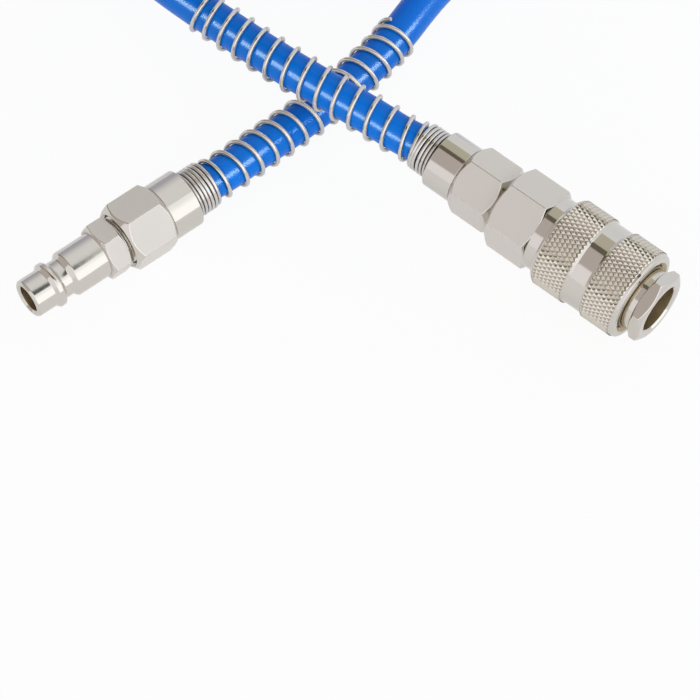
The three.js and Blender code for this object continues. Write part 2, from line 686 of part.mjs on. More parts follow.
// The guard spring is wound round the hose's own line: close turns in the nut's neck
// and just outside it, then open turns that follow the hose, and a closer last turn.
function guardSpring(line, neckEnd, startAngle) {
  const stretches = [
    [GUARD_CLOSED_TURNS, GUARD_CLOSED_PITCH],
    [1, GUARD_END_PITCH],
    [GUARD_OPEN_TURNS, GUARD_OPEN_PITCH],
    [1, GUARD_END_PITCH],
  ];
  const length = line.getLength();
  const frames = line.computeFrenetFrames(400, false);
  const turns = totalTurns(stretches);
  const first = neckEnd - SPRING_SEAT_DEPTH + CLEAR + GUARD_WIRE / 2;
  const points = [];
  for (let i = 0; i <= Math.round(turns * WIRE_STEPS); i += 1) {
    const turn = i / WIRE_STEPS;
    const along = (first + advance(stretches, turn)) / length;
    const at = Math.round(along * 400);
    const widen = THREE.MathUtils.smoothstep(turn, GUARD_CLOSED_TURNS - 0.5, GUARD_CLOSED_TURNS + 0.5);
    const radius = THREE.MathUtils.lerp(GUARD_CLOSED_DIAMETER, GUARD_OPEN_DIAMETER, widen) / 2;
    const angle = degrees(startAngle) + 2 * Math.PI * turn;
    const spoke = frames.normals[at].clone().multiplyScalar(radius * Math.cos(angle));
    spoke.addScaledVector(frames.binormals[at], radius * Math.sin(angle));
    points.push(line.getPointAt(along).add(spoke));
  }
  return wire(points, GUARD_WIRE);
}

// The spiral's outer shape: one fat tube lying on the table, its axis along X.
function hoseCoil() {
  const half = (COIL_PITCH * COIL_TURNS + HOSE_OD) / 2;
  const [inner, outer] = [(COIL_MEAN - HOSE_OD) / 2, (COIL_MEAN + HOSE_OD) / 2];
  const tube = turned([[-half, inner], [-half, outer], [half, outer], [half, inner], [-half, inner]], 48);
  return skin(tube.translate(0, COIL_Y, outer));
}

// ---------------------------------------------------------------- assembly

function piece(name, geometry, material) {
  const mesh = new THREE.Mesh(skin(geometry), material);
  mesh.name = name;
  return mesh;
}

function fitting(at, heading, rise, pieces) {
  const group = new THREE.Group();
  group.position.copy(at);
  group.rotation.set(0, -degrees(rise), degrees(heading), 'ZYX');
  group.add(...pieces);
  return group;
}

const plug = fitting(PLUG_AT, PLUG_HEADING, PLUG_RISE, [
  piece('plug_body', plugBody(), nickel()),
  piece('plug_union_nut', unionNut(PLUG_NUT_AT, PLUG_NUT_ROLL), nickel()),
]);

const balls = Array.from({ length: BALL_COUNT }, (_, i) =>
  piece(`lock_ball_${i + 1}`, lockBall(i), ballSteel()),
);

const coupler = fitting(COUPLER_AT, COUPLER_HEADING, COUPLER_RISE, [
  piece('coupler_mouth_tube', mouthTube(), nickel()),
  piece('locking_sleeve', lockingSleeve(), nickel()),
  piece('sleeve_stop_ring', stopRing(), springSteel()),
  piece('sleeve_spring', sleeveSpring(), springSteel()),
  ...balls,
  piece('plug_seal', plugSeal(), nitrile()),
  piece('valve_poppet', valvePoppet(), brass()),
  piece('valve_seal', valveSeal(), nitrile()),
  piece('valve_spring', valveSpring(), springSteel()),
  piece('coupler_body', couplerBody(), nickel()),
  piece('coupler_union_nut', unionNut(COUPLER_NUT_AT, COUPLER_NUT_ROLL), nickel()),
]);

const plugLine = hoseLine(PLUG_AT, PLUG_HEADING, PLUG_RISE, PLUG_THREAD_AT, PLUG_NUT_AT, PLUG_HOSE);
const couplerLine = hoseLine(
  COUPLER_AT,
  COUPLER_HEADING,
  COUPLER_RISE,
  BODY_HEX_END,
  COUPLER_NUT_AT,
  COUPLER_HOSE,
);
const plugNeckEnd = PLUG_NUT_AT + NUT_LENGTH - hoseStartAfter(PLUG_THREAD_AT);
const couplerNeckEnd = COUPLER_NUT_AT + NUT_LENGTH - hoseStartAfter(BODY_HEX_END);

const assembly = new THREE.Group();
assembly.add(
  plug,
  coupler,
  piece('plug_guard_spring', guardSpring(plugLine, plugNeckEnd, PLUG_GUARD_START), springSteel()),
  piece('coupler_guard_spring', guardSpring(couplerLine, couplerNeckEnd, COUPLER_GUARD_START), springSteel()),
  piece('hose_plug_end', hoseTail(plugLine), polyurethane()),
  piece('hose_coupler_end', hoseTail(couplerLine), polyurethane()),
  piece('hose_coil', hoseCoil(), polyurethane()),
);

export default assembly;
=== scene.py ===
# %% [markdown]
# # A coiled air hose
# A recoil hose is a spiral of polyurethane tube that springs back after use. This lesson
# rebuilds its two brass fittings, their bend-guard springs and the blue hose around a
# measured model, which gives every piece its place. The scene is in metres. Sizes are
# written in millimetres, and MM turns them to metres.

# %% Load the measured model
import math

import bpy
from mathutils import Euler, Matrix, Vector


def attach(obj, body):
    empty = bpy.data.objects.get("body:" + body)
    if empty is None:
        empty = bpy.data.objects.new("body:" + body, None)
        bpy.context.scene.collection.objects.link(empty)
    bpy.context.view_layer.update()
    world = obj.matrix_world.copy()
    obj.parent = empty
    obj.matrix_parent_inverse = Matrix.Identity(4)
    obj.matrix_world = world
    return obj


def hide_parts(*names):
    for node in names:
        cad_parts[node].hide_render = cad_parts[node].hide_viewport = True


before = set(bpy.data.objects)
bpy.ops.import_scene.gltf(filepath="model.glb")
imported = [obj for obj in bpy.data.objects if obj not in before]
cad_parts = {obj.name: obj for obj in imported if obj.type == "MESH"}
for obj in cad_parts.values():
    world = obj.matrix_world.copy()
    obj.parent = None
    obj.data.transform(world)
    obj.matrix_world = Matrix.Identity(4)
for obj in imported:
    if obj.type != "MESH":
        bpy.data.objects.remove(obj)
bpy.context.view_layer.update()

print("nodes:", len(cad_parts))

# %% [markdown]
# ## The camera
# The fittings were photographed from a steep angle with a long lens, so they hardly taper
# with distance. A long lens from far away gives that flat look. The hose's spiral lies
# behind the fittings, above the picture's top edge.

# %% Camera
MM = 0.001
LOOK_AT = Vector((0.4, -47.95, 0)) * MM
LOOK_DOWN = math.radians(54.5)
LOOK_FROM = 900 * MM
PICTURE_WIDTH = 175 * MM  # what the picture shows at the point that it looks at
SENSOR = 36

camera_data = bpy.data.cameras.new("camera")
camera_data.sensor_width = SENSOR
camera_data.lens = SENSOR * LOOK_FROM / PICTURE_WIDTH
camera_data.clip_end = 20
camera = bpy.data.objects.new("camera", camera_data)
bpy.context.scene.collection.objects.link(camera)
camera.location = LOOK_AT + LOOK_FROM * Vector((0, -math.cos(LOOK_DOWN), math.sin(LOOK_DOWN)))
camera.rotation_euler = (math.pi / 2 - LOOK_DOWN, 0, 0)
bpy.context.scene.camera = camera
print("lens", round(camera_data.lens, 1), "mm")

# %% [markdown]
# ## Where the two fittings lie
# Each fitting was turned in a lathe, so it is easiest to model it upright, with its axis
# along Z: a station is how far a point lies from the open end, towards the hose. One
# matrix for each fitting then takes its pieces from there to their place on the table.

# %% Axes of the two fittings
STANDING = Matrix(((0, 0, 1), (1, 0, 0), (0, 1, 0))).to_4x4()  # takes Z to X, and X to Y


def fitting_place(at, heading, rise):
    """Takes a fitting that was modelled along Z to where it lies."""
    turn = Euler((0, -math.radians(rise), math.radians(heading))).to_matrix().to_4x4()
    return Matrix.Translation(Vector(at) * MM) @ turn @ STANDING


PLUG = fitting_place((-80.2, -38.3, 8.1), 38.7, 2)
COUPLER = fitting_place((77.2, -44.2, 11.9), 141, 4.5)


def on_axis(place, station):
    return place @ Vector((0, 0, station * MM))


print("plug points along", tuple(round(v, 3) for v in PLUG.col[2][:3]))

# %% [markdown]
# ## A smooth line
# A hose leaves its fitting straight, because the stem inside holds it, and then bends in
# slow curves. A spline that slows down where its points are close keeps such a line free
# of loops and kinks.

# %% Spline
def spline(points, steps):
    """A smooth line through the points, with that many steps from each to the next."""
    ends = [2 * points[0] - points[1], *points, 2 * points[-1] - points[-2]]
    line = []
    for before, a, b, after in zip(ends, ends[1:], ends[2:], ends[3:]):
        d0, d1, d2 = ((q - p).length ** 0.5 for p, q in ((before, a), (a, b), (b, after)))
        leave = d1 * ((a - before) / d0 - (b - before) / (d0 + d1) + (b - a) / d1)
        arrive = d1 * ((b - a) / d1 - (after - a) / (d1 + d2) + (after - b) / d2)
        for i in range(steps):
            t = i / steps
            line.append(
                a + leave * t
                + (3 * (b - a) - 2 * leave - arrive) * t**2
                + (2 * (a - b) + leave + arrive) * t**3
            )
    return [*line, points[-1]]


corner = [Vector(p) for p in ((0, 0, 0), (1, 0, 0), (1, 1, 0))]
print("halfway round a corner:", tuple(round(v, 2) for v in spline(corner, 2)[1]))

# %% [markdown]
# ## The hose's two ends
# Each end starts behind the fitting's thread and leaves the union nut straight. The two
# ends cross, and each runs on to one end of the spiral. The points are those of the
# measured model, so that the hose and its springs lie where it says.

# %% Ends of the hose
THREAD_LENGTH, NUT_LENGTH = 7.6, 21.2
CLEAR = 0.3  # lengthways, between pieces that are pushed up to each other
PLUG_THREAD_AT, PLUG_NUT_AT = 27.5, 28.4
COUPLER_THREAD_AT, COUPLER_NUT_AT = 47.8, 48.1
PLUG_HOSE = [
    (-31.3, 0.9, 9.9), (-23.8, 8.4, 8.8), (-16.0, 16.4, 7.4), (-8.5, 23.8, 6.75),
    (-0.9, 31.9, 6.75), (4.6, 38.1, 6.75), (9.4, 44.1, 6.75), (14.2, 51.3, 6.75),
    (17.8, 57.5, 6.5), (22.4, 65.2, 5.7), (28.2, 73.1, 5.1), (37.3, 82.0, 5.1),
    (49.2, 91.3, 5.1), (61.2, 101.5, 5.1), (70.1, 112.5, 5.1), (75.0, 125.5, 5.1),
]
COUPLER_HOSE = [
    (13.4, 6.2, 18.5), (7.6, 10.1, 19.4), (-0.9, 15.8, 20.4), (-9.7, 22.2, 20.65),
    (-17.0, 28.4, 20.0), (-25.6, 37.0, 18.2), (-34.3, 46.3, 16.0), (-42.6, 55.1, 14.0),
    (-51.1, 64.5, 12.6), (-59.7, 75.0, 13.3), (-67.3, 87.5, 18.6), (-72.4, 98.0, 28.0),
    (-74.6, 103.1, 36.0),
]


def hose_end(place, thread_at, nut_at, points):
    """The straight part, to just past the close turns of the spring, and then the points."""
    start, free = thread_at + THREAD_LENGTH + CLEAR, nut_at + NUT_LENGTH
    straight = [on_axis(place, s) for s in (start, (start + free) / 2, free, free + 3.2, free + 6)]
    return straight + [Vector(p) * MM for p in points]


plug_end = hose_end(PLUG, PLUG_THREAD_AT, PLUG_NUT_AT, PLUG_HOSE)
coupler_end = hose_end(COUPLER, COUPLER_THREAD_AT, COUPLER_NUT_AT, COUPLER_HOSE)
print("points of the two ends:", len(plug_end), len(coupler_end))

# %% [markdown]
# ## The spiral
# A recoil hose is wound warm on a bar and keeps its spiral. It lies on its side behind
# the fittings, so each turn is a circle that moves on a little with the angle.

# %% Spiral and whole line
HOSE_DIAMETER = 10
COIL_MEAN, COIL_PITCH, COIL_TURNS, COIL_BEHIND = 100, 10.3, 14.75, 158.5
POINTS_A_TURN = 24


def coil_points():
    """The spiral from its front left, where it heads up, to the bottom on the right."""
    radius, last = COIL_MEAN / 2, round(COIL_TURNS * POINTS_A_TURN)
    middle = (COIL_MEAN + HOSE_DIAMETER) / 2
    for i in range(last + 1):
        turns = i / POINTS_A_TURN
        angle = 2 * math.pi * turns
        yield Vector((
            COIL_PITCH * (turns - COIL_TURNS / 2),
            COIL_BEHIND - radius * math.cos(angle),
            middle + radius * math.sin(angle),
        )) * MM


hose_line = spline([*plug_end, *reversed(list(coil_points())), *reversed(coupler_end)], 3)
for point in hose_line:
    point.z = max(point.z, HOSE_DIAMETER / 2 * MM)  # it lies on the table, never in it

# %% [markdown]
# ## Materials
# Blender mixes colours as light, so each colour is written as the usual six hex digits
# and turned to linear values by one function. Another small function adds a node to a
# material with its settings and its links, which keeps each material short enough to
# read as a recipe.

# %% Tools for materials
def linear(hex_colour):
    """The linear colour of six sRGB hex digits."""
    parts = [int(hex_colour[i : i + 2], 16) / 255 for i in (0, 2, 4)]
    return (*(p / 12.92 if p <= 0.04045 else ((p + 0.055) / 1.055) ** 2.4 for p in parts), 1)


def add(material, kind, settings=None, **links):
    """A node of that kind; each link or value goes to the input of that name or number."""
    node = material.node_tree.nodes.new("ShaderNode" + kind)
    for name, value in (settings or {}).items():
        setattr(node, name, value)
    for name, value in links.items():
        by_number = name[0] == "i" and name[1:].isdigit()
        place = node.inputs[int(name[1:]) if by_number else name.replace("_", " ")]
        if isinstance(value, bpy.types.NodeSocket):
            material.node_tree.links.new(value, place)
        else:
            place.default_value = value
    return node


def new_material(name):
    """An empty material, and its surface shader with the output joined."""
    material = bpy.data.materials.new(name)
    material.use_nodes = True
    material.node_tree.nodes.clear()
    shader = add(material, "BsdfPrincipled")
    add(material, "OutputMaterial", Surface=shader.outputs[0])
    return material, shader


def join(material, output, shader, name):
    material.node_tree.links.new(output, shader.inputs[name])


print("grey 808080 is", [round(v, 3) for v in linear("808080")])

# %% [markdown]
# ## Nickel-plated brass
# The fittings are brass, turned and milled, then plated with nickel. Bright nickel is a
# warm, slightly yellow white metal. The fine turning marks under the plating leave it
# satin rather than mirror-like, so its reflections are soft. Milled flats are duller than
# turned rounds, the plating is yellower in the knurl's grooves and hardly reaches the
# bores, which stay brown.

# %% Nickel
def nickel(name, roughness, tint="D9D4CC"):
    material, shader = new_material(name)
    place = add(material, "TexCoord").outputs["Object"]
    grain = add(material, "TexNoise", Vector=place, Scale=900.0, Detail=3.0)  # about 1 mm
    cloud = add(material, "TexNoise", Vector=place, Scale=120.0, Detail=2.0)  # about 8 mm
    soft = add(material, "MapRange", Value=cloud.outputs[0], i3=roughness - 0.03, i4=roughness + 0.04)
    bump = add(material, "Bump", Height=grain.outputs[0], Strength=0.05, Distance=0.00003)
    shader.inputs["Base Color"].default_value = linear(tint)
    shader.inputs["Metallic"].default_value = 1
    join(material, soft.outputs[0], shader, "Roughness")
    join(material, bump.outputs[0], shader, "Normal")
    return material


satin_nickel = nickel("satin_nickel_plate", 0.08)
milled_nickel = nickel("milled_nickel_plate", 0.75, "EAE6E1")
knurled_nickel = nickel("knurled_nickel_plate", 0.15, "DAD4C8")
bored_brass = nickel("bored_brass", 0.38, "CDBC98")
print(satin_nickel.name, milled_nickel.name, knurled_nickel.name, bored_brass.name)

# %% [markdown]
# ## Spring wire
# The springs are wound from bright drawn steel wire, the stop ring from wire that was
# hardened in oil and stayed brown. Shade is painted into the bright wire's colour: where it
# faces the hose or the next turn, an ambient occlusion node darkens it, as painted shade for
# the dark of the gap.

# %% Spring wire
spring_steel = nickel("bright_spring_wire", 0.14)
# painted shade: ambient occlusion finds where the wire faces the hose or its next turn
painted_gap_shade = add(spring_steel, "AmbientOcclusion", Distance=0.003)
share = add(spring_steel, "MapRange", Value=painted_gap_shade.outputs["AO"], i1=0.12, i2=0.85)
# painted shade: the wire's colour goes from DEDAD5 to dark 605B58 where it is occluded
tint = add(
    spring_steel, "Mix", {"data_type": "RGBA"},
    i0=share.outputs[0], i6=linear("605B58"), i7=linear("DEDAD5"),
)
join(spring_steel, tint.outputs[2], spring_steel.node_tree.nodes["Principled BSDF"], "Base Color")
oiled_steel = nickel("oiled_spring_wire", 0.3, "7D725C")
print(spring_steel.name, oiled_steel.name)

# %% [markdown]
# ## Polyurethane
# The hose is extruded polyurethane, dyed through. It leaves the die with a glossy skin,
# so it shows bright streaks along its length.

# %% Polyurethane
blue_hose, shader = new_material("blue_polyurethane")
shader.inputs["Base Color"].default_value = linear("006FD6")
shader.inputs["Roughness"].default_value = 0.23
shader.inputs["IOR"].default_value = 1.5
shader.inputs["Specular IOR Level"].default_value = 0.15
print(blue_hose.name)

# %% [markdown]
# ## The hose
# Blender sweeps a round section along a curve, so the hose is one curve with a bevel. It
# is one hose from stem to stem: the spiral is a part of the same line.

# %% Hose
def wire(name, line, diameter, sides):
    """A round wire or hose along a line, as a curve with one open spline."""
    curve = bpy.data.curves.new(name, "CURVE")
    curve.dimensions = "3D"
    run = curve.splines.new("POLY")
    run.points.add(len(line) - 1)
    for point, place in zip(run.points, line):
        point.co = (*place, 1)
    curve.bevel_depth = diameter / 2 * MM
    curve.bevel_resolution = sides // 4 - 1
    curve.use_fill_caps = True
    curve.twist_mode = "MINIMUM"
    piece = bpy.data.objects.new(name, curve)
    bpy.context.scene.collection.objects.link(piece)
    return piece


def keep(piece, material, slot, *nodes, body="hose_and_fittings"):
    """Gives a piece its material if it has none, attaches it to its body and hides the measured nodes
    it stands for.
    """
    if not piece.data.materials:
        piece.data.materials.append(material)
    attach(piece, body)
    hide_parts(*nodes)
    return piece


hose = wire("hose", hose_line, HOSE_DIAMETER, 32)
keep(hose, blue_hose, "polyurethane", "hose_plug_end", "hose_coupler_end", "hose_coil")
hose.visible_glossy = False  # the metal in the photograph mirrors no blue
print("hose points:", len(hose_line))

# %% [markdown]
# ## A frame along the hose
# The guard springs bend with the hose, so their turns are laid out round the hose's own
# line. That takes a direction square to the line at each point, carried along it without
# twisting.

# %% Frames
def carried_frames(line):
    """For each point of a line, its distance along, place, direction and one square to it."""
    heading = (line[1] - line[0]).normalized()
    across = heading.cross(heading.cross(Vector((0, 0, 1)))).normalized()
    frames, along = [], 0.0
    for i, point in enumerate(line):
        ahead = (line[min(i + 1, len(line) - 1)] - line[max(i - 1, 0)]).normalized()
        across = heading.rotation_difference(ahead) @ across
        heading = ahead
        if i:
            along += (point - line[i - 1]).length
        frames.append((along, point, heading, across.normalized()))
    return frames


plug_frames = carried_frames(spline(plug_end, 40))
coupler_frames = carried_frames(spline(coupler_end, 40))
print("frames:", len(plug_frames), len(coupler_frames))

# %% [markdown]
# ## Bend-guard springs
# Each spring is a steel wire, gripped by close turns in the nut's neck and then wound
# openly round the hose, so that the hose can't kink where it leaves the fitting. Handling
# has stretched the two a little differently, and the open turns of the coupler's lean on
# the hose more and more: their upper sides stay behind.

# %% The wire of a guard spring
GUARD_WIRE = 1.08
GUARD_CLOSED, GUARD_OPEN = 12.07, 11.2  # diameters at the middle of the wire
GUARD_SEAT = 5  # how deep the spring sits in the nut's neck
STEPS_A_TURN = 32
LEAN_FROM = 13  # the turn where the leaning starts
UPPER_SIDE = Vector((0.05, -0.55, 0.84))


def stretched(turn, guard_turns):
    """How far along the spring a turn lies."""
    along = 0
    for turns, pitch in guard_turns:
        along += min(turn, turns) * pitch
        turn = max(0, turn - turns)
    return along


def guard_line(frames, thread_at, nut_at, start_angle, guard_turns, lean):
    """The spring's wire, wound round the hose from inside the neck to its free end."""
    total, closed = sum(turns for turns, _ in guard_turns), guard_turns[0][0]
    seat = nut_at + NUT_LENGTH - GUARD_SEAT - (thread_at + THREAD_LENGTH + CLEAR)
    line, at = [], 0
    for i in range(round(total * STEPS_A_TURN) + 1):
        turn = i / STEPS_A_TURN
        along = (seat + CLEAR + GUARD_WIRE / 2 + stretched(turn, guard_turns)) * MM
        while frames[at + 1][0] < along:
            at += 1
        (before, a, heading, across_a), (after, b, _, across_b) = frames[at], frames[at + 1]
        share = (along - before) / (after - before)
        opening = min(max(turn - closed + 0.5, 0), 1)
        opening = opening * opening * (3 - 2 * opening)
        radius = (GUARD_CLOSED + (GUARD_OPEN - GUARD_CLOSED) * opening) / 2 * MM
        across = across_a.lerp(across_b, share).normalized()
        angle = math.radians(start_angle) + 2 * math.pi * turn
        out = math.cos(angle) * across + math.sin(angle) * heading.cross(across)
        upper = (UPPER_SIDE - UPPER_SIDE.dot(heading) * heading).normalized()
        leaning = lean * MM * max(0, turn - LEAN_FROM) / (total - LEAN_FROM)
        line.append(a.lerp(b, share) + radius * out - leaning * upper.dot(out) * heading)
    return line


print("wire of", GUARD_WIRE, "mm")

# %% [markdown]
# ## The two springs
# Each spring is written as its turns and the pitch of each, from the close ones in the
# neck to the cut end.

# %% Guard springs
PLUG_GUARD = [(9.7, 1.094), (1, 3.4), (6, 5.4), (6.6, 5.1), (1.14, 2.7)]
COUPLER_GUARD = [(9.7, 1.094), (1, 3.4), (6.6, 5.2), (6, 5.9), (1, 3.4)]


def guard_spring(name, *layout):
    line = guard_line(*layout)
    spring = wire(f"{name}_guard", line, GUARD_WIRE, 12)
    keep(spring, spring_steel, "spring_steel", f"{name}_guard_spring")
    print(spring.name, "has", len(line), "points")


guard_spring("plug", plug_frames, PLUG_THREAD_AT, PLUG_NUT_AT, 0, PLUG_GUARD, 0)
guard_spring("coupler", coupler_frames, COUPLER_THREAD_AT, COUPLER_NUT_AT, 220, COUPLER_GUARD, 3.4)

# %% [markdown]
# ## Selecting
# Blender's tools act on what is selected. So before each one everything is deselected,
# and then one piece, or some of its vertices, edges or faces, are picked in code.

# %% Select
def select(piece):
    """Selects one piece and nothing else."""
    bpy.ops.object.select_all(action="DESELECT")
    bpy.context.view_layer.objects.active = piece
    piece.select_set(True)


def edit(piece):
    """Puts a piece in edit mode, all of it selected."""
    select(piece)
    bpy.ops.object.mode_set(mode="EDIT")
    bpy.ops.mesh.select_mode(type="VERT")
    bpy.ops.mesh.select_all(action="SELECT")


def pick(piece, kind, wanted):
    """Selects the vertices, edges or faces of a piece in edit mode for which wanted is true."""
    bpy.ops.mesh.select_mode(type=kind)
    bpy.ops.mesh.select_all(action="DESELECT")
    bpy.ops.object.mode_set(mode="OBJECT")
    mesh = piece.data
    for part in {"VERT": mesh.vertices, "EDGE": mesh.edges, "FACE": mesh.polygons}[kind]:
        part.select = wanted(part)
    bpy.ops.object.mode_set(mode="EDIT")


# %% [markdown]
# ## Turning
# Everything round on the fittings comes off a lathe, so it is modelled as a lathe makes
# it: an outline is drawn point by point with extrude, its corners are eased with a
# vertex bevel, and Spin carries it round the axis. Where the outline's ends meet, or
# lie on the axis, merging the doubles closes the piece.

# %% Lathe
LATHE_STEPS = 96


def turn(name, outline, steps=LATHE_STEPS, material=satin_nickel):
    """A turned piece. Each point of the outline is (station, radius), or with how far
    its corner is eased."""
    bpy.ops.object.select_all(action="DESELECT")
    bpy.ops.mesh.primitive_plane_add(size=MM)
    piece = bpy.context.object
    piece.name = name
    edit(piece)
    bpy.ops.mesh.merge(type="CENTER")
    points = [(p[1] * MM, 0, p[0] * MM) for p in outline]
    bpy.ops.transform.translate(value=points[0])
    for a, b in zip(points, points[1:]):
        step = {"value": tuple(q - p for p, q in zip(a, b))}
        bpy.ops.mesh.extrude_region_move(TRANSFORM_OT_translate=step)
    bpy.ops.mesh.select_all(action="SELECT")
    bpy.ops.mesh.remove_doubles(threshold=1e-7)
    for ease in sorted({p[2] for p in outline if len(p) > 2}):
        corners = [Vector(q) for p, q in zip(outline, points) if len(p) > 2 and p[2] == ease]
        pick(piece, "VERT", lambda v: any((v.co - c).length < 1e-7 for c in corners))
        bpy.ops.mesh.bevel(offset=ease * MM, segments=3, affect="VERTICES")
    bpy.ops.mesh.select_all(action="SELECT")
    bpy.ops.mesh.spin(steps=steps, angle=2 * math.pi, center=(0, 0, 0), axis=(0, 0, 1))
    bpy.ops.mesh.select_all(action="SELECT")
    bpy.ops.mesh.remove_doubles(threshold=1e-6)
    bpy.ops.mesh.normals_make_consistent(inside=False)
    bpy.ops.object.mode_set(mode="OBJECT")
    piece.data.materials.append(material)
    return piece


print("the lathe takes", LATHE_STEPS, "steps")

# %% [markdown]
# ## Cutting and joining
# Blender's Boolean modifier cuts one closed shape out of another, as a drill or a milling
# cutter does. A narrow bevel then takes the sharpness off, as tumbling does on real brass.

# %% Cut and ease
def combine(piece, tool, operation):
    """Joins a tool to a piece, cuts it away or keeps what they share, and removes it."""
    select(piece)
    cut = piece.modifiers.new(operation.lower(), "BOOLEAN")
    cut.operation, cut.solver, cut.object = operation, "EXACT", tool
    cut.material_mode = "TRANSFER"
    bpy.ops.object.modifier_apply(modifier=cut.name)
    bpy.data.objects.remove(tool)
    return piece


def ease_edges(piece, width):
    """Bevels the edges that turn by 28 degrees or more, in the piece's last material."""
    select(piece)
    bevel = piece.modifiers.new("eased edges", "BEVEL")
    bevel.limit_method, bevel.angle_limit = "ANGLE", math.radians(28)
    bevel.width, bevel.segments = width * MM, 2
    bevel.material = len(piece.data.materials) - 1
    bpy.ops.object.modifier_apply(modifier=bevel.name)
    return piece


print("pieces to cut so far:", len(bpy.data.meshes))

# %% [markdown]
# ## Milling
# The hexagons are milled from round bar. Their corners are turned down to a cone at each
# end, which leaves the curved edges that every nut has. The cone is a turned piece, and
# the hexagon keeps what lies inside it.

# %% Mill
TURNED_FACE = 0.97  # radius of a hexagon's turned end face, as a share of half its flats


def hexagon(name, start, end, flats, roll, ease, front=TURNED_FACE, slope=30, material=milled_nickel):
    """A hexagonal bar with turned ends; roll is the angle of one of its corners."""
    corner = flats / math.sqrt(3)
    bpy.ops.object.select_all(action="DESELECT")
    bpy.ops.mesh.primitive_cylinder_add(
        vertices=6, radius=corner * MM, depth=(end - start) * MM,
        location=(0, 0, (start + end) / 2 * MM), rotation=(0, 0, math.radians(roll - 90)),
    )
    bar = bpy.context.object
    bar.name = name
    bar.data.materials.append(material)
    bpy.ops.object.transform_apply(location=True, rotation=True, scale=True)
    near, far, high = flats / 2 * front, flats / 2 * TURNED_FACE, corner + 0.1
    fall = math.tan(math.radians(slope))
    cone = turn("cone", [
        (start, 0), (start, near), (start + (high - near) * fall, high),
        (end - (high - far) * fall, high), (end, far), (end, 0),
    ])
    return ease_edges(combine(bar, cone, "INTERSECT"), ease)


print("a turned end face is", TURNED_FACE, "of the flats")

# %% [markdown]
# ## Copying and finishing
# What there is more than one of is modelled once and copied. A finished piece gets smooth
# rounds and flat flats, and is laid in its place, with that place in its mesh.

# %% Copy and finish
def copy_of(piece):
    """A copy with a mesh of its own."""
    select(piece)
    bpy.ops.object.duplicate(linked=False)
    return bpy.context.object


def finish_piece(piece, place):
    """Smooths the turned faces, keeps the flat ones flat and lays the piece in its place."""
    select(piece)
    bpy.ops.object.shade_smooth_by_angle(angle=math.radians(32))
    flat = piece.modifiers.new("flat faces stay flat", "WEIGHTED_NORMAL")
    flat.keep_sharp = True
    bpy.ops.object.modifier_apply(modifier=flat.name)
    piece.matrix_world = place
    bpy.ops.object.transform_apply(location=True, rotation=True, scale=True)
    print(piece.name, len(piece.data.polygons), "faces")
    return piece


print("materials so far:", sorted(m.name for m in bpy.data.materials))

# %% [markdown]
# ## Thread and hose stem
# Both fittings end in the same way: a short male thread takes the union nut, and a stem
# with three barbs goes into the hose. Only a sliver of the thread shows, so it is made as
# rings instead of a helix.

# %% Thread and stem
THREAD_RADIUS, THREAD_ROOT, THREAD_PITCH, THREAD_RINGS = 6.7, 6.15, 1, 6
STEM_RADIUS, BARB_RADIUS, STEM_BORE, STEM_LENGTH, BARB_PITCH = 2.6, 2.95, 2, 11, 2.6
CUT_PAST = 1  # how far a cutting tool reaches past the piece


def stem(start):
    """The outline of the thread and the stem, from the hexagon to the stem's tip."""
    outline = [(start - CUT_PAST, 0), (start - CUT_PAST, THREAD_ROOT), (start + 0.35, THREAD_ROOT)]
    for i in range(THREAD_RINGS):
        crest = start + 0.6 + i * THREAD_PITCH  # 0.2 wide, with flanks of 0.4
        outline += [(crest, THREAD_RADIUS), (crest + 0.2, THREAD_RADIUS), (crest + 0.6, THREAD_ROOT)]
    end = start + THREAD_LENGTH
    tip = end + STEM_LENGTH
    outline += [(end, THREAD_ROOT), (end, STEM_RADIUS)]
    for i in (3, 2, 1):
        outline += [(tip - i * BARB_PITCH, STEM_RADIUS), (tip - i * BARB_PITCH, BARB_RADIUS)]
    return turn("stem", [*outline, (tip, STEM_RADIUS - 0.1), (tip, 0)], 64)


print("thread of", THREAD_PITCH, "mm pitch")

# %% [markdown]
# ## Bores
# The hole through a fitting is drilled wide from the mouth and narrow through the stem,
# and the drill leaves a cone between the two. The edge of the mouth gets a chamfer, which
# is plated like the outside.

# %% Drills
def bore(start, wide, narrow_from):
    """The hole through a fitting, wide from its start and narrow in the stem."""
    tip = narrow_from + THREAD_LENGTH + STEM_LENGTH + CUT_PAST
    return turn("bore", [
        (start - CUT_PAST, 0), (start - CUT_PAST, wide), (narrow_from, wide),
        (narrow_from + wide - STEM_BORE, STEM_BORE), (tip, STEM_BORE), (tip, 0),
    ], material=bored_brass)


def chamfer(radius, depth):
    """The chamfer round a hole's mouth at station 0."""
    past = radius + depth + CUT_PAST
    return turn("chamfer", [(-CUT_PAST, 0), (-CUT_PAST, past), (depth, radius), (depth, 0)])


print("bore of the stem:", 2 * STEM_BORE, "mm")

# %% [markdown]
# ## Union nuts
# The nut screws on the thread and grips hose and spring: a hexagon for the spanner, and
# a round neck with a socket for the spring. Both fittings have the same nut, so it is
# modelled once, from station 0, and copied. It stopped at another angle on each thread.

# %% Union nuts
NUT_FLATS, NUT_HEX_LENGTH, NUT_NECK, NUT_ROLL = 16.8, 12.7, 7.9, 49.7
NUT_BORE, NUT_GRIP, NUT_SOCKET, NUT_CHAMFER = 7, 5.3, 6.875, 0.7  # radii, and a depth

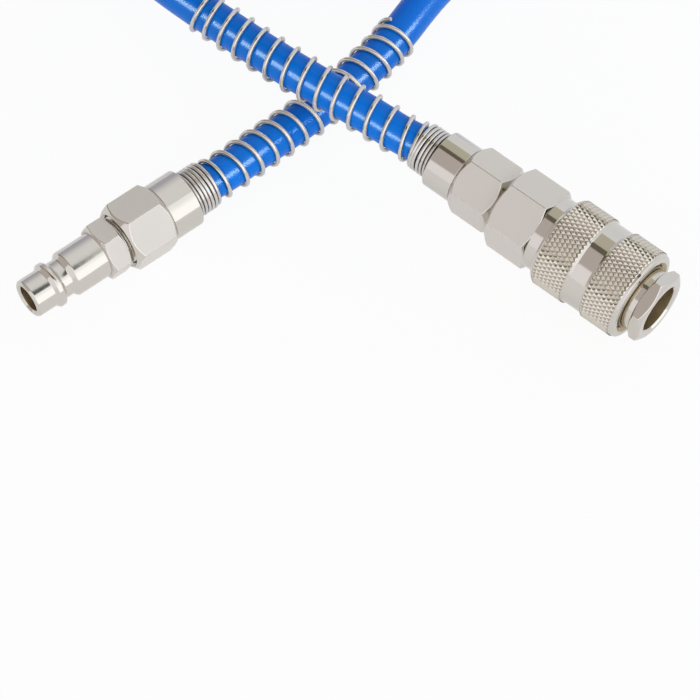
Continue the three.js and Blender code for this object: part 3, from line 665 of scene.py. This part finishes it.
nut = hexagon("plug_nut", 0, NUT_HEX_LENGTH, NUT_FLATS, NUT_ROLL, 0.3, front=0.93, slope=42)
combine(nut, turn("neck", [
    (NUT_HEX_LENGTH - 1, 0), (NUT_HEX_LENGTH - 1, NUT_NECK - 0.25),
    (NUT_HEX_LENGTH + 0.2, NUT_NECK - 0.25), (NUT_HEX_LENGTH + 0.35, NUT_NECK, 0.1),
    (NUT_LENGTH, NUT_NECK, 0.25), (NUT_LENGTH, 0),
]), "UNION")
thread_end, socket_end = THREAD_LENGTH + CLEAR, NUT_LENGTH - GUARD_SEAT
combine(nut, turn("hole", [
    (-CUT_PAST, 0), (-CUT_PAST, NUT_BORE + NUT_CHAMFER + CUT_PAST), (NUT_CHAMFER, NUT_BORE),
    (thread_end, NUT_BORE), (thread_end + NUT_BORE - NUT_GRIP, NUT_GRIP),
    (socket_end, NUT_GRIP), (socket_end, NUT_SOCKET), (NUT_LENGTH - 0.2, NUT_SOCKET),
    (NUT_LENGTH + CUT_PAST, 7.6), (NUT_LENGTH + CUT_PAST, 0),
]), "DIFFERENCE")

layout = [("plug", PLUG, PLUG_NUT_AT, NUT_ROLL), ("coupler", COUPLER, COUPLER_NUT_AT, 21.2)]
for (name, place, at, roll), piece in zip(layout, [nut, copy_of(nut)]):
    piece.name = f"{name}_nut"
    along = Matrix.Translation((0, 0, at * MM))
    rolled = Matrix.Rotation(math.radians(roll - NUT_ROLL), 4, "Z")
    finish_piece(piece, place @ along @ rolled)
    keep(piece, satin_nickel, "nickel_plated_brass", f"{name}_union_nut")

# %% [markdown]
# ## The plug
# The plug's nose enters the coupler's seal, the coupler's balls lock in the groove
# behind its collar, and the hexagon takes a spanner.

# %% Plug
PLUG_BORE = 3.6
plug = turn("plug", [
    (0, 0), (0, 4.7, 0.12), (0.5, 5.2, 0.15), (5.75, 5.2, 0.1),  # nose
    (6.6, 6.15, 0.2), (7.8, 6.15, 0.2),  # collar
    (8.4, 5.5), (8.75, 5, 0.2), (11.2, 5, 0.25),  # locking groove
    (12.3, 6.15, 0.25), (22.8, 6.15), (22.8, 0),  # barrel
])
combine(plug, hexagon("flats", 21.8, PLUG_THREAD_AT, 14, 54.8, 0.25), "UNION")
combine(plug, stem(PLUG_THREAD_AT), "UNION")
combine(plug, chamfer(PLUG_BORE, 0.5), "DIFFERENCE")
combine(plug, bore(0, PLUG_BORE, PLUG_THREAD_AT), "DIFFERENCE")
keep(finish_piece(plug, PLUG), satin_nickel, "nickel_plated_brass", "plug_body")

# %% [markdown]
# ## The coupler's mouth tube
# The tube is what everything else on the coupler is built round. In front it has a
# hexagonal flange, and grooves and steps inside hold the seal and the valve.

# %% Mouth tube
TUBE, TUBE_BORE, SEAL_GROOVE, VALVE_SEAT, VALVE_BORE = 8.4, 6.35, 7.25, 5.5, 6.8  # radii
TUBE_END = 32.8
RING_AT, RING_WIRE = 6.15, 0.9
tube = hexagon("mouth_tube", 0, 3.6, 17.3, 27.5, 0.15, material=satin_nickel)
combine(tube, turn("outside", [
    (2.6, 0), (2.6, TUBE), (RING_AT - 0.6, TUBE), (RING_AT - 0.6, TUBE - 0.3),
    (RING_AT + 0.6, TUBE - 0.3), (RING_AT + 0.6, TUBE),  # the stop ring's groove
    (25.6, TUBE), (25.6, 7.9), (TUBE_END, 7.9), (TUBE_END, 0),
]), "UNION")
combine(tube, chamfer(TUBE_BORE, 0.5), "DIFFERENCE")
combine(tube, turn("inside", [
    (-CUT_PAST, 0), (-CUT_PAST, TUBE_BORE), (14.8, TUBE_BORE), (15.4, VALVE_SEAT),
    (15.9, VALVE_SEAT), (15.9, SEAL_GROOVE), (18.4, SEAL_GROOVE), (18.4, VALVE_SEAT),
    (19.8, VALVE_SEAT), (19.8, VALVE_BORE), (TUBE_END + CUT_PAST, VALVE_BORE),
    (TUBE_END + CUT_PAST, 0),
], material=bored_brass), "DIFFERENCE")
print(tube.name, "is", TUBE_END, "mm long")

# %% [markdown]
# ## Ball holes
# The balls sit in four holes in the tube's wall, drilled from outside and a quarter turn
# apart.

# %% Ball holes
BALL_AT, BALL_RADIUS, BALL_REACH = 12.1, 1.65, 5.3
BALL_ANGLES = [math.radians(45 + 90 * i) for i in range(4)]


def ball_spot(angle, out):
    """A point at the balls' station, that far out in the direction of one of them."""
    return Vector((out * math.cos(angle), out * math.sin(angle), BALL_AT)) * MM


for angle in BALL_ANGLES:
    bpy.ops.object.select_all(action="DESELECT")
    bpy.ops.mesh.primitive_cylinder_add(
        vertices=32, radius=(BALL_RADIUS + 0.1) * MM, depth=8 * MM,
        location=ball_spot(angle, 8), rotation=(math.pi / 2, 0, angle + math.pi / 2),
    )
    combine(tube, bpy.context.object, "DIFFERENCE")
keep(finish_piece(tube, COUPLER), satin_nickel, "nickel_plated_brass", "coupler_mouth_tube")

# %% [markdown]
# ## Stop ring
# A ring of spring wire in a groove of the tube keeps the sleeve from coming off. It is
# open by a short gap, so that it can be sprung over the tube. It can be seen inside the
# sleeve's mouth.

# %% Stop ring
RING_RADIUS = TUBE - 0.3 + 0.1 + RING_WIRE / 2
ring_angles = [math.radians(a) for a in range(-100, 241, 5)]
ring_line = [
    COUPLER @ (Vector((RING_RADIUS * math.cos(a), RING_RADIUS * math.sin(a), RING_AT)) * MM)
    for a in ring_angles
]
ring = wire("stop_ring", ring_line, RING_WIRE, 12)
keep(ring, oiled_steel, "spring_steel", "sleeve_stop_ring")
print(ring.name, "has", len(ring_line), "points")

# %% [markdown]
# ## Locking balls
# A real ball is ground round from all sides. A cube that is divided and then pulled out
# to a sphere has even faces, with no poles. One ball is modelled and the others are its
# copies.

# %% Balls
bpy.ops.object.select_all(action="DESELECT")
bpy.ops.mesh.primitive_cube_add(size=2 * BALL_RADIUS * MM)
ball = bpy.context.object
edit(ball)
bpy.ops.mesh.subdivide(number_cuts=9)
bpy.ops.mesh.select_all(action="SELECT")
bpy.ops.transform.tosphere(value=1)
bpy.ops.object.mode_set(mode="OBJECT")

balls = [ball, *(copy_of(ball) for _ in BALL_ANGLES[1:])]
for i, (angle, ball) in enumerate(zip(BALL_ANGLES, balls), 1):
    ball.name = f"ball_{i}"
    spot = Matrix.Translation(ball_spot(angle, BALL_REACH + BALL_RADIUS))
    finish_piece(ball, COUPLER @ spot)
    # the balls take the spring wire's material, with its painted shade where they lie close to other
    # pieces
    keep(ball, spring_steel, "ball_steel", f"lock_ball_{i}", body=f"ball_{i}")

# %% [markdown]
# ## Locking sleeve
# The sleeve is drawn back by hand, so it is knurled in two bands, with a plain groove for
# the fingers between them. Inside, a cone lets the balls out and two walls hold the
# sleeve's spring. The bands are turned with oblong faces, one for each knurl.

# %% Sleeve
KNURLS_AROUND, KNURL_LENGTH, KNURL_DEPTH = 60, 2.3, 0.36  # each 1.3 mm wide and 2.3 mm long
GRIP, GROOVE, SLEEVE_END = 12.45, 11.85, 31.9
FRONT_BAND, REAR_BAND = (6.7, 15.8), (21.6, 30.9)
BAND_ROOT = GRIP - KNURL_DEPTH


def rows(start, end):
    """Points of the outline that divide a band in rows of faces."""
    count = round((end - start) / KNURL_LENGTH)
    return [(start + (end - start) * i / count, BAND_ROOT) for i in range(count + 1)]


sleeve = turn("knurled_sleeve", [
    (5.6, 10.3), (5.6, 11.4, 0.15), (5.95, 12, 0.1), (6.4, BAND_ROOT), *rows(*FRONT_BAND),
    (15.9, BAND_ROOT), (16.4, GROOVE, 0.15), (21, GROOVE, 0.15), (21.5, BAND_ROOT),
    *rows(*REAR_BAND), (31.1, BAND_ROOT), (SLEEVE_END, 11.4, 0.2), (SLEEVE_END, 10.5),
    (15.4, 10.5), (15.4, 8.7), (12.47, 8.7), (9.97, 9.8), (7.9, 9.8), (7.9, 8.7),
    (6.9, 8.7), (6.9, 9.5), (6.4, 9.5), (5.6, 10.3),
], KNURLS_AROUND)
sleeve.data.materials.append(knurled_nickel)
sleeve.data.materials.append(bored_brass)
print(sleeve.name, "has", len(sleeve.data.polygons), "faces before knurling")

# %% [markdown]
# ## Knurling
# A diamond knurl is rolled in by two crossed wheels, and leaves small blunt pyramids. In
# Blender: Poke divides each oblong face from its middle, dissolving the old edges leaves
# diamonds, and an inset with some depth raises each one.

# %% Knurls
KNURL_FLANK = 0.42  # how far each pyramid's blunt top is set in from its edges


def knurl(piece, start, end):
    """Raises blunt pyramids on the outside of a piece between two stations."""
    low, high, mesh = start * MM - 1e-6, end * MM + 1e-6, piece.data

    def in_band(part):
        places = [mesh.vertices[v].co for v in part.vertices]
        return all(low < p.z < high and p.xy.length > 12 * MM for p in places)

    edit(piece)
    pick(piece, "FACE", in_band)
    piece.active_material_index = 1
    bpy.ops.object.material_slot_assign()
    old = len(mesh.vertices)
    bpy.ops.mesh.poke()

    def between_faces(edge):
        places = [mesh.vertices[v].co for v in edge.vertices]
        middle = (places[0].z + places[1].z) / 2
        return in_band(edge) and max(edge.vertices) < old and low + 1e-5 < middle < high - 1e-5

    pick(piece, "EDGE", between_faces)
    bpy.ops.mesh.dissolve_edges(use_verts=False)
    pick(piece, "FACE", in_band)
    bpy.ops.mesh.inset(thickness=KNURL_FLANK * MM, depth=KNURL_DEPTH * MM, use_individual=True)
    bpy.ops.object.mode_set(mode="OBJECT")
    return sum(f.select for f in piece.data.polygons)


def is_inside(face):
    """Whether a face of the sleeve is in its bore."""
    return all(sleeve.data.vertices[v].co.xy.length < 10.4 * MM for v in face.vertices)


edit(sleeve)
pick(sleeve, "FACE", is_inside)
sleeve.active_material_index = 2
bpy.ops.object.material_slot_assign()
bpy.ops.object.mode_set(mode="OBJECT")
print("knurls:", knurl(sleeve, *FRONT_BAND), knurl(sleeve, *REAR_BAND))
finish_piece(sleeve, COUPLER)
keep(sleeve, satin_nickel, "nickel_plated_brass", "locking_sleeve", body="sleeve")

# %% [markdown]
# ## Rear body
# The rear body screws on the tube behind the sleeve. Its round band guides the sleeve,
# and its hexagon takes a spanner.

# %% Rear body
BODY_AT, BODY_BORE, BODY_SOCKET = 25.9, 3.2, 8.2
stem_end = COUPLER_THREAD_AT + THREAD_LENGTH + STEM_LENGTH + CUT_PAST
body = turn("rear_body", [(BODY_AT, 0), (BODY_AT, 10.2, 0.15), (35.1, 10.2), (35.1, 0)])
combine(body, hexagon("flats", 34.9, COUPLER_THREAD_AT, 20, 21.8, 0.2), "UNION")
combine(body, stem(COUPLER_THREAD_AT), "UNION")
combine(body, turn("socket", [
    (BODY_AT - CUT_PAST, 0), (BODY_AT - CUT_PAST, BODY_SOCKET), (TUBE_END + CLEAR, BODY_SOCKET),
    (TUBE_END + CLEAR, BODY_BORE), (COUPLER_THREAD_AT, BODY_BORE),
    (COUPLER_THREAD_AT + BODY_BORE - STEM_BORE, STEM_BORE), (stem_end, STEM_BORE), (stem_end, 0),
]), "DIFFERENCE")
keep(finish_piece(body, COUPLER), satin_nickel, "nickel_plated_brass", "coupler_body")

# %% [markdown]
# ## Springs, seals and valve inside the coupler
# Nobody sees these until the coupler is opened, so the measured solids are good enough.
# They get the materials that they are made of.

# %% Inner pieces
def turned_brass():
    """Bare brass, bright from the lathe: not plated, because it stays inside."""
    material, shader = new_material("turned_brass")
    shader.inputs["Base Color"].default_value = linear("D6B25E")
    shader.inputs["Metallic"].default_value = 1
    place = add(material, "TexCoord").outputs["Object"]
    cloud = add(material, "TexNoise", Vector=place, Scale=400.0)
    soft = add(material, "MapRange", Value=cloud.outputs[0], i3=0.2, i4=0.3)
    join(material, soft.outputs[0], shader, "Roughness")
    return material


def black_nitrile():
    """Moulded rubber, matt, with a faint grain."""
    material, shader = new_material("black_nitrile")
    shader.inputs["Base Color"].default_value = linear("1C1C1D")
    place = add(material, "TexCoord").outputs["Object"]
    cloud = add(material, "TexNoise", Vector=place, Scale=1500.0)
    soft = add(material, "MapRange", Value=cloud.outputs[0], i3=0.5, i4=0.65)
    join(material, soft.outputs[0], shader, "Roughness")
    return material


nitrile = black_nitrile()
inner = {
    # the two inner springs take the spring wire's material, with its painted shade between their
    # turns
    "sleeve_spring": spring_steel, "valve_spring": spring_steel, "valve_poppet": turned_brass(),
    "plug_seal": nitrile, "valve_seal": nitrile,
}
for name, material in inner.items():
    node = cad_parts[name]
    node.data.materials.clear()
    node.data.materials.append(material)
print("inner pieces:", sorted(inner))

# %% [markdown]
# ## Table
# White paper lies under the fittings. In the picture it is as white as the background
# and keeps only a faint shadow, so what the camera sees of it is mostly a plain white of
# strength 1, and the rest is lit paper. The metal sees more of the lit paper, because
# the shadow under each fitting is what shades its lower side.

# %% Table
CAMERA_WHITE, MIRROR_WHITE = 0.93, 0.4  # the plain white's share for the camera and in metal
bpy.ops.object.select_all(action="DESELECT")
bpy.ops.mesh.primitive_plane_add(size=6, location=(0, 0, -0.0005))
table = bpy.context.object
table.name = "table"
paper, shader = new_material("white_paper")
shader.inputs["Base Color"].default_value = linear("FAFAFA")
shader.inputs["Roughness"].default_value = 0.9
path = add(paper, "LightPath").outputs
glossy, clear = path["Is Glossy Ray"], path["Is Transmission Ray"]
mirrored = add(paper, "Math", {"operation": "ADD"}, i0=glossy, i1=clear)
mirrored = add(paper, "Math", {"operation": "MULTIPLY"}, i0=mirrored.outputs[0], i1=MIRROR_WHITE)
share = add(
    paper, "Math", {"operation": "MULTIPLY_ADD", "use_clamp": True},
    i0=path["Is Camera Ray"], i1=CAMERA_WHITE, i2=mirrored.outputs[0],
)
plain = add(paper, "Emission", Strength=1.0)
mixed = add(paper, "MixShader", i0=share.outputs[0], i1=shader.outputs[0], i2=plain.outputs[0])
output = next(n for n in paper.node_tree.nodes if n.type == "OUTPUT_MATERIAL")
paper.node_tree.links.new(mixed.outputs[0], output.inputs["Surface"])
table.data.materials.append(paper)
print("table:", table.dimensions.x, "m wide")

# %% [markdown]
# ## The studio's cards
# Polished metal has no colour of its own to show: what one sees is the studio. Here a
# bright white card stands in front on the right and a plainer one on the left. A grey
# ceiling runs down behind, and on the left a brown wall shows between them. The narrow
# gap overhead makes the black line along each round piece. Each card's edge is a plane
# through the object, so a dot product tells on which side of it a direction lies.

# %% Cards
world = bpy.data.worlds.new("studio")
bpy.context.scene.world = world
world.use_nodes = True
world.node_tree.nodes.clear()
direction = add(world, "TexCoord").outputs["Generated"]


def card_edge(normal, before, past, edge=0.02, at=0.0):
    """One light on the near side of a card's edge and another past it."""
    side = add(world, "VectorMath", {"operation": "DOT_PRODUCT"},
               i0=direction, i1=Vector(normal).normalized()).outputs["Value"]
    share = add(world, "MapRange", {"interpolation_type": "SMOOTHSTEP"},
                Value=side, i1=at - edge, i2=at + edge).outputs[0]
    return add(world, "Mix", {"data_type": "RGBA"}, i0=share, i6=before, i7=past).outputs[2]


RIGHT, UP = (1, 0, 0), (0, 0, 1)
WALL_EDGE, GAP_EDGE = (0.3515, 0.6615, -0.0186), (0.3175, 0.3578, -0.1037)
low_front = card_edge(RIGHT, (0.98, 0.96, 1.0, 1), (1.42, 1.46, 1.5, 1), 0.5)
high_front = card_edge(RIGHT, (0.98, 0.96, 1.0, 1), (1.16, 1.2, 1.22, 1), 0.5)
front = card_edge(UP, low_front, high_front, 0.15, at=0.62)
behind = card_edge(RIGHT, (0.48, 0.49, 0.56, 1), (0.82, 0.84, 0.88, 1), 0.35)
ceiling = card_edge(UP, behind, (0.88, 0.89, 0.9, 1), 0.35, at=0.6)
wall = card_edge(WALL_EDGE, (0.57, 0.52, 0.5, 1), (0.52, 0.5, 0.39, 1))
rear = card_edge((-1, -0.622, 0.2), ceiling, wall)
cards = card_edge((-0.28, 0.842, 0.313), front, rear)
gap = card_edge(RIGHT, (0.15, 0.135, 0.1, 1), (0.015, 0.013, 0.012, 1), 0.15, at=0.2)
above_gap = card_edge(GAP_EDGE, gap, cards, 0.004, at=-0.006)
studio = card_edge(WALL_EDGE, cards, above_gap, 0.006, at=-0.018)

seen = add(world, "LightPath").outputs["Is Camera Ray"]
shown = add(world, "Mix", {"data_type": "RGBA"}, i0=seen, i6=studio, i7=(1, 1, 1, 1))
light = add(world, "Background", Color=shown.outputs[2], Strength=1.0)
add(world, "OutputWorld", Surface=light.outputs[0])
print("world nodes:", len(world.node_tree.nodes))

# %% [markdown]
# ## Lamps for the hose
# Two long lamps draw the bright lines along the hose, and a weak one fills its front. They
# are linked to the hose alone, so they add nothing to the metal and the table.

# %% Lamps
lit = bpy.data.collections.new("lit_by_the_strips")
lit.objects.link(hose)


def lamp(name, place, width, height, power, colour):
    """A lamp that faces the fittings and lights the hose only."""
    data = bpy.data.lights.new(name, "AREA")
    data.shape, data.size, data.size_y = "RECTANGLE", width, height
    data.energy, data.color = power, colour
    new = bpy.data.objects.new(name, data)
    bpy.context.scene.collection.objects.link(new)
    new.location = place
    new.rotation_euler = new.location.to_track_quat("Z", "Y").to_euler()
    new.light_linking.receiver_collection = lit
    return new


for side in (-1, 1):
    strip = lamp(f"strip_{side}", (0.985 * side, -0.45, 0.515), 1.6, 0.42, 64, (0.78, 1, 0.88))
    strip.visible_diffuse = False
fill = lamp("fill", (0, -1, 0.12), 0.8, 0.8, 5, (0.6, 1, 0.85))
fill.visible_glossy = False
print("lamps:", len(bpy.data.lights))

# %% [markdown]
# ## A card near the coupler
# A small brown card hangs behind the coupler and is seen in the metal only. Because it is
# near, it shows on the coupler and not on the plug.

# %% Brown card
card_points = [COUPLER @ (Vector((0, 0, at)) * MM) for at in (0, 60)]
bpy.ops.object.select_all(action="DESELECT")
bpy.ops.mesh.primitive_plane_add(size=1)
card = bpy.context.object
card.name = "brown_card"
card.dimensions = (0.16, 0.232, 0)
card.location = (card_points[0] + card_points[1]) / 2 + Vector((0.057, 0.19, 0.3))
card.rotation_euler.z = math.atan2(*(card_points[1] - card_points[0]).yx)
card_material, shader = new_material("brown_card")
shader.inputs["Base Color"].default_value = linear("000000")
shader.inputs["Emission Color"].default_value = linear("C5C2B1")
shader.inputs["Emission Strength"].default_value = 1
shader.inputs["Specular IOR Level"].default_value = 0
card.data.materials.append(card_material)
card.visible_camera = card.visible_diffuse = card.visible_shadow = False
bpy.context.scene.view_settings.view_transform = "Standard"
print("card at", tuple(round(v, 2) for v in card.location))
